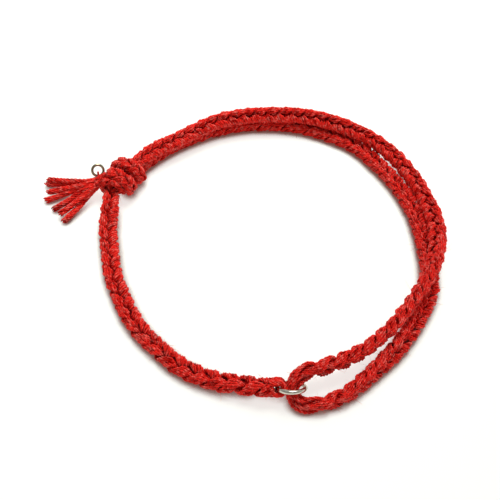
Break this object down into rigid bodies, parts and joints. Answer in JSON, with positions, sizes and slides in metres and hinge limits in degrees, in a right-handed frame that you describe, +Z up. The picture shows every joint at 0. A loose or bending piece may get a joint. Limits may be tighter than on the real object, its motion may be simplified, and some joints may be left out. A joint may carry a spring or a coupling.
{
  "type": "string bracelet",
  "caption": "Braided red cord bracelet that lies as a loop: single cord, doubled cord through a jump ring, sliding knot with a thread tassel and a small charm ring.",
  "frame": {"origin": "on the surface it lies on, under the middle of its outline seen from above", "axes": "+Z up from the surface, +X along the longest extent from the tassel to the doubled cord, +Y from the jump ring to the far side"},
  "size_m": [0.0818, 0.0712, 0.0075],
  "materials": {
    "red_cotton": "matt plied cotton thread",
    "silver_wire": "polished silver-coloured wire"
  },
  "bodies": {
    "root": {"strand_a": "red_cotton", "strand_b": "red_cotton", "strand_c": "red_cotton", "start_loops": "red_cotton", "jump_ring": "silver_wire", "knot": "red_cotton", "tassel": "red_cotton", "charm_ring": "silver_wire"}
  },
  "joints": []
}
